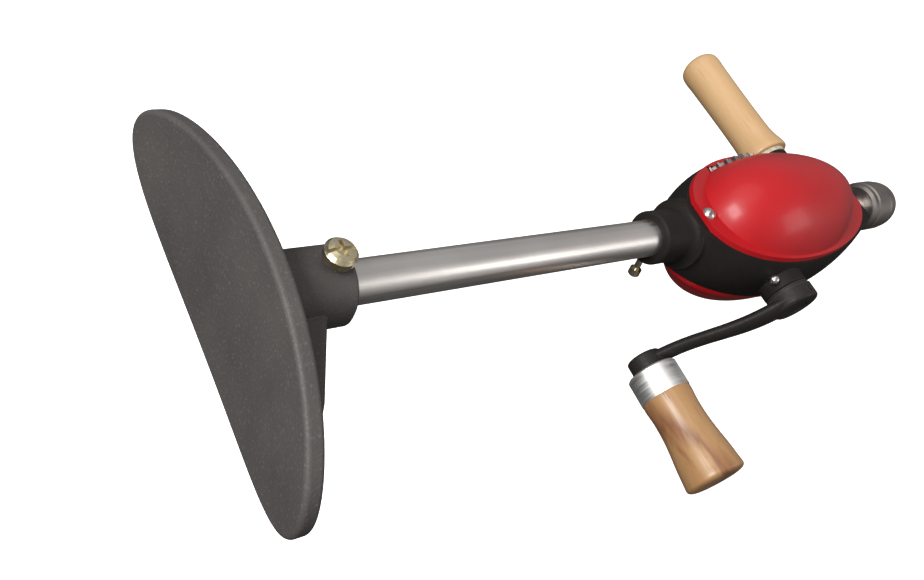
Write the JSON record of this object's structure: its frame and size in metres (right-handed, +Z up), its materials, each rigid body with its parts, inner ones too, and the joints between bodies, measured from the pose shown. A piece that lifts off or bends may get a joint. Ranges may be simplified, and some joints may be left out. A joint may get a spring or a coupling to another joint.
{
  "type": "hand crank breast drill",
  "caption": "Hand-cranked breast drill: curved breast plate on a tube, domed gear case, cranked wooden grip, wooden side handle and three-jaw chuck.",
  "frame": {"origin": "centre of the chuck's mouth, on the spindle axis", "axes": "+X along the spindle towards the bit, +Y along the side handle, the crank axle runs along Y, +Z up"},
  "size_m": [0.3948, 0.2067, 0.1033],
  "materials": {
    "black_coat": "satin",
    "red_paint": "gloss",
    "plated_tube": "satin",
    "yellow_zinc": "satin",
    "bright_steel": "satin",
    "gear_iron": "satin",
    "bronze": "satin",
    "ferrule_aluminium": "satin",
    "cream_washer": "matte",
    "grip_wood": "satin",
    "handle_wood": "satin",
    "chuck_steel": "satin"
  },
  "bodies": {
    "frame": {"breast_plate": "black_coat", "plate_screw": "yellow_zinc", "plate_screw_washer": "yellow_zinc", "tube": "plated_tube", "gearcase_frame": "black_coat", "tube_set_screw": "yellow_zinc", "upper_cover": "red_paint", "lower_cover": "red_paint", "cover_screws": "bright_steel", "boss_oiler": "bright_steel", "crank_bush": "bronze", "gear_bush": "bronze", "rear_spindle_bush": "bronze", "front_spindle_bush": "bronze", "thrust_race_fixed": "bright_steel", "side_handle_washer": "cream_washer", "side_handle_stud": "bright_steel", "side_handle_grip": "handle_wood"},
    "crank": {"crank_axle": "bright_steel", "drive_gear": "gear_iron", "gear_pin": "bright_steel", "crank_washer": "cream_washer", "crank_arm": "black_coat", "crank_pin": "bright_steel", "grip_pin": "bright_steel", "grip_washer": "bright_steel"},
    "grip": {"crank_grip": "grip_wood", "crank_ferrule": "ferrule_aluminium"},
    "spindle": {"spindle": "bright_steel", "spindle_pinion": "gear_iron", "pinion_pin": "bright_steel", "thrust_race_turning": "bright_steel", "thrust_balls": "bright_steel", "chuck_body": "chuck_steel", "chuck_collar": "chuck_steel"},
    "sleeve": {"chuck_sleeve": "chuck_steel"},
    "jaw_1": {"chuck_jaw_1": "bright_steel"},
    "jaw_2": {"chuck_jaw_2": "bright_steel"},
    "jaw_3": {"chuck_jaw_3": "bright_steel"}
  },
  "joints": [
    {"name": "crank_turn", "type": "hinge", "parent": "frame", "child": "crank", "pos_m": [-0.1295, 0, 0], "axis": [0, 1, 0], "continuous": true},
    {"name": "spindle_turn", "type": "hinge", "parent": "frame", "child": "spindle", "pos_m": [-0.0995, 0, 0], "axis": [1, 0, 0], "continuous": true},
    {"name": "grip_spin", "type": "hinge", "parent": "crank", "child": "grip", "pos_m": [-0.18029, 0, -0.05061], "axis": [0, 1, 0], "continuous": true},
    {"name": "chuck_sleeve_turn", "type": "hinge", "parent": "spindle", "child": "sleeve", "pos_m": [-0.02, 0, 0], "axis": [1, 0, 0], "range_deg": [-300, 1020]},
    {"name": "jaw_1_slide", "type": "slide", "parent": "spindle", "child": "jaw_1", "axis": [0.9848, 0, -0.1736], "range_m": [-0.0025, 0.0085]},
    {"name": "jaw_2_slide", "type": "slide", "parent": "spindle", "child": "jaw_2", "axis": [0.9848, 0.1504, 0.0868], "range_m": [-0.0025, 0.0085]},
    {"name": "jaw_3_slide", "type": "slide", "parent": "spindle", "child": "jaw_3", "axis": [0.9848, -0.1504, 0.0868], "range_m": [-0.0025, 0.0085]}
  ],
  "couplings": [
    {"joint": "spindle_turn", "follows": "crank_turn", "ratio": -2},
    {"joint": "jaw_1_slide", "follows": "chuck_sleeve_turn", "m_per_rad": 0.00047746},
    {"joint": "jaw_2_slide", "follows": "chuck_sleeve_turn", "m_per_rad": 0.00047746},
    {"joint": "jaw_3_slide", "follows": "chuck_sleeve_turn", "m_per_rad": 0.00047746}
  ]
}
